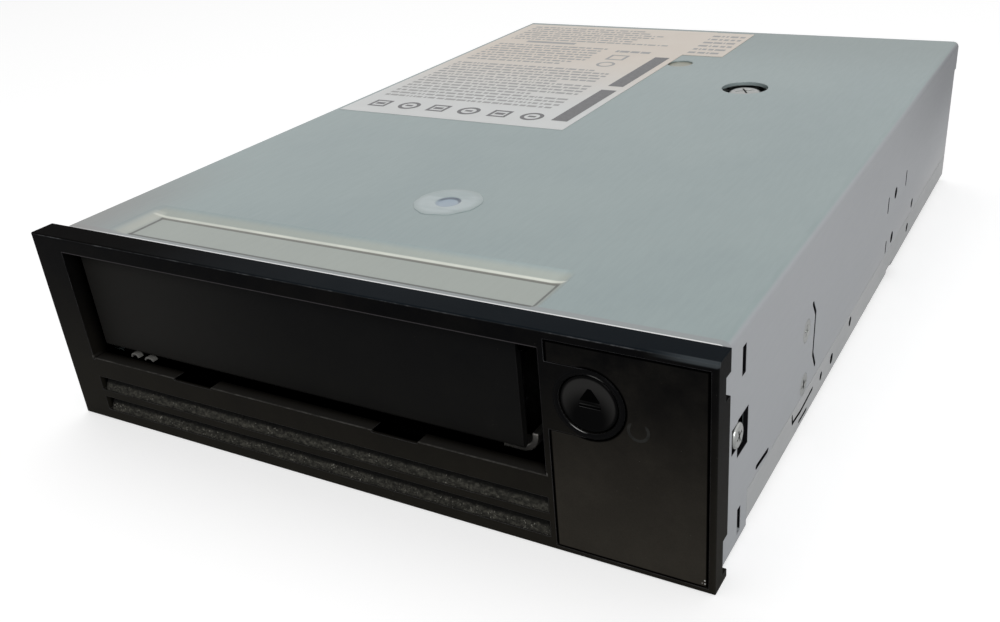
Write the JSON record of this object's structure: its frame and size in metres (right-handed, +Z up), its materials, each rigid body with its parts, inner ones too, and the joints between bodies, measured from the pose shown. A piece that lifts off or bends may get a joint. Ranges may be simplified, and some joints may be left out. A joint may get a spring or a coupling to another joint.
{
  "type": "data tape drive",
  "caption": "Half-height internal data tape drive: steel case, black front with hinged cartridge door and eject button, loader, reel motors, threader and tape head inside.",
  "frame": {"origin": "middle of the overall footprint, on the surface that the drive stands on", "axes": "+X right seen from the front, +Y from the bezel to the rear, +Z up"},
  "size_m": [0.1484, 0.2106, 0.0432],
  "materials": {
    "cover_steel": "satin galvanized",
    "chassis_steel": "satin galvanized",
    "cast_aluminium": "cast, matte",
    "bezel_black": "fine matte texture",
    "panel_black": "matte",
    "button_black": "gloss",
    "foam": "open-cell foam",
    "bright_steel": "bright",
    "tray_steel": "bright satin",
    "spring_steel": "drawn wire",
    "circuit_board": "solder mask",
    "chip": "moulded",
    "ribbon": "polyimide film",
    "lamp": "clear",
    "gear_plastic": "natural acetal",
    "motor_steel": "zinc",
    "winding": "enamelled copper",
    "reel_plastic": "satin",
    "head_ceramic": "lapped ceramic",
    "connector_plastic": "glass-filled nylon",
    "label_white": "satin film",
    "seal_film": "clear film"
  },
  "bodies": {
    "housing": {"chassis_base": "chassis_steel", "top_cover": "cover_steel", "deck_frame": "cast_aluminium", "guide_studs": "bright_steel", "bezel": "bezel_black", "control_panel": "panel_black", "lower_filter_foam": "foam", "upper_filter_foam": "foam", "door_pins": "bright_steel", "door_spring": "spring_steel", "button_spring": "spring_steel", "panel_board": "circuit_board", "eject_switch": "chip", "status_leds": "lamp", "panel_ribbon": "ribbon", "loader_motor": "motor_steel", "supply_stator": "winding", "takeup_stator": "winding", "threader_post": "bright_steel", "threader_bridge": "tray_steel", "threader_motor": "motor_steel", "roller_posts": "bright_steel", "head_bracket": "tray_steel", "head_guide_rods": "bright_steel", "head_stepper": "motor_steel", "main_board": "circuit_board", "board_chips": "chip", "data_power_connector": "connector_plastic", "service_connector": "connector_plastic", "pan_head_screws": "bright_steel", "flat_head_screws": "bright_steel", "board_screws": "bright_steel", "spec_label": "label_white", "hole_seal": "seal_film"},
    "door": {"cartridge_door": "bezel_black"},
    "button": {"eject_button": "button_black"},
    "carriage": {"loader_carriage": "tray_steel"},
    "cam_plates": {"left_cam_plate": "tray_steel", "right_cam_plate": "tray_steel"},
    "tray": {"cartridge_tray": "tray_steel", "tray_pins": "bright_steel"},
    "sync": {"sync_shaft": "bright_steel", "sync_gears": "gear_plastic"},
    "reduction": {"reduction_gear": "gear_plastic"},
    "motor_pinion": {"loader_pinion": "gear_plastic"},
    "supply_drive": {"supply_rotor": "motor_steel", "supply_clutch": "gear_plastic"},
    "takeup_drive": {"takeup_rotor": "motor_steel", "takeup_reel": "reel_plastic"},
    "threader": {"threader_arm": "cast_aluminium", "leader_block": "reel_plastic"},
    "thread_pinion": {"threader_pinion": "gear_plastic"},
    "head": {"head_carriage": "cast_aluminium", "head_block": "head_ceramic"},
    "screw": {"lead_screw": "bright_steel"},
    "roller_1": {"guide_roller_1": "bright_steel"},
    "roller_2": {"guide_roller_2": "bright_steel"},
    "roller_3": {"guide_roller_3": "bright_steel"},
    "roller_4": {"guide_roller_4": "bright_steel"}
  },
  "joints": [
    {"name": "door_swing", "type": "hinge", "parent": "housing", "child": "door", "pos_m": [-0.011, -0.09965, 0.0386], "axis": [1, 0, 0], "range_deg": [0, 90], "stiffness_Nm_per_rad": 0.002, "springref_deg": -22.92},
    {"name": "eject_press", "type": "slide", "parent": "housing", "child": "button", "axis": [0, 1, 0], "range_m": [0, 0.0012], "stiffness_N_per_m": 400, "springref_m": -0.001, "deforming": ["button_spring"]},
    {"name": "load_slide", "type": "slide", "parent": "housing", "child": "carriage", "axis": [0, 1, 0], "range_m": [0, 0.01]},
    {"name": "cam_slide", "type": "slide", "parent": "housing", "child": "cam_plates", "axis": [0, 1, 0], "range_m": [0, 0.0221]},
    {"name": "tray_drop", "type": "slide", "parent": "carriage", "child": "tray", "axis": [0, 0, -1], "range_m": [0, 0.00455]},
    {"name": "sync_spin", "type": "hinge", "parent": "housing", "child": "sync", "pos_m": [0, -0.06925, 0.0062], "axis": [1, 0, 0], "range_deg": [-420.67, 0]},
    {"name": "reduction_spin", "type": "hinge", "parent": "housing", "child": "reduction", "pos_m": [0.05, -0.07343, 0.01118], "axis": [1, 0, 0], "range_deg": [0, 490.7]},
    {"name": "loader_motor_spin", "type": "hinge", "parent": "housing", "child": "motor_pinion", "pos_m": [0.052, -0.07525, 0.02152], "axis": [1, 0, 0], "range_deg": [-1569.13, 0]},
    {"name": "supply_spin", "type": "hinge", "parent": "housing", "child": "supply_drive", "pos_m": [-0.0109, -0.03525, 0.009], "axis": [0, 0, 1], "continuous": true},
    {"name": "takeup_spin", "type": "hinge", "parent": "housing", "child": "takeup_drive", "pos_m": [-0.022, 0.05775, 0.009], "axis": [0, 0, 1], "continuous": true},
    {"name": "threader_swing", "type": "hinge", "parent": "housing", "child": "threader", "pos_m": [0.0199, 0.05105, 0.034], "axis": [0, 0, 1], "range_deg": [0, 235.6]},
    {"name": "threader_motor_spin", "type": "hinge", "parent": "housing", "child": "thread_pinion", "pos_m": [0.01482, 0.03067, 0.034], "axis": [0, 0, 1], "range_deg": [-1179, 0]},
    {"name": "head_lift", "type": "slide", "parent": "housing", "child": "head", "axis": [0, 0, 1], "range_m": [-0.0042, 0.0042]},
    {"name": "lead_screw_spin", "type": "hinge", "parent": "housing", "child": "screw", "pos_m": [0.041, 0.05105, 0.02], "axis": [0, 0, 1], "range_deg": [-1515, 1515]},
    {"name": "roller_1_spin", "type": "hinge", "parent": "housing", "child": "roller_1", "pos_m": [0.03686, 0.02391, 0.02], "axis": [0, 0, 1], "continuous": true},
    {"name": "roller_2_spin", "type": "hinge", "parent": "housing", "child": "roller_2", "pos_m": [0.0489, 0.03753, 0.02], "axis": [0, 0, 1], "continuous": true},
    {"name": "roller_3_spin", "type": "hinge", "parent": "housing", "child": "roller_3", "pos_m": [0.0489, 0.06457, 0.02], "axis": [0, 0, 1], "continuous": true},
    {"name": "roller_4_spin", "type": "hinge", "parent": "housing", "child": "roller_4", "pos_m": [0.03492, 0.0793, 0.02], "axis": [0, 0, 1], "continuous": true}
  ],
  "couplings": [
    {"joint": "cam_slide", "follows": "load_slide", "ratio": 2.2},
    {"joint": "tray_drop", "follows": "load_slide", "ratio": 0.45},
    {"joint": "sync_spin", "follows": "load_slide", "rad_per_m": -733.33},
    {"joint": "reduction_spin", "follows": "load_slide", "rad_per_m": 855.56},
    {"joint": "loader_motor_spin", "follows": "load_slide", "rad_per_m": -2737.8},
    {"joint": "threader_motor_spin", "follows": "threader_swing", "ratio": -5},
    {"joint": "lead_screw_spin", "follows": "head_lift", "rad_per_m": 6283.2}
  ]
}
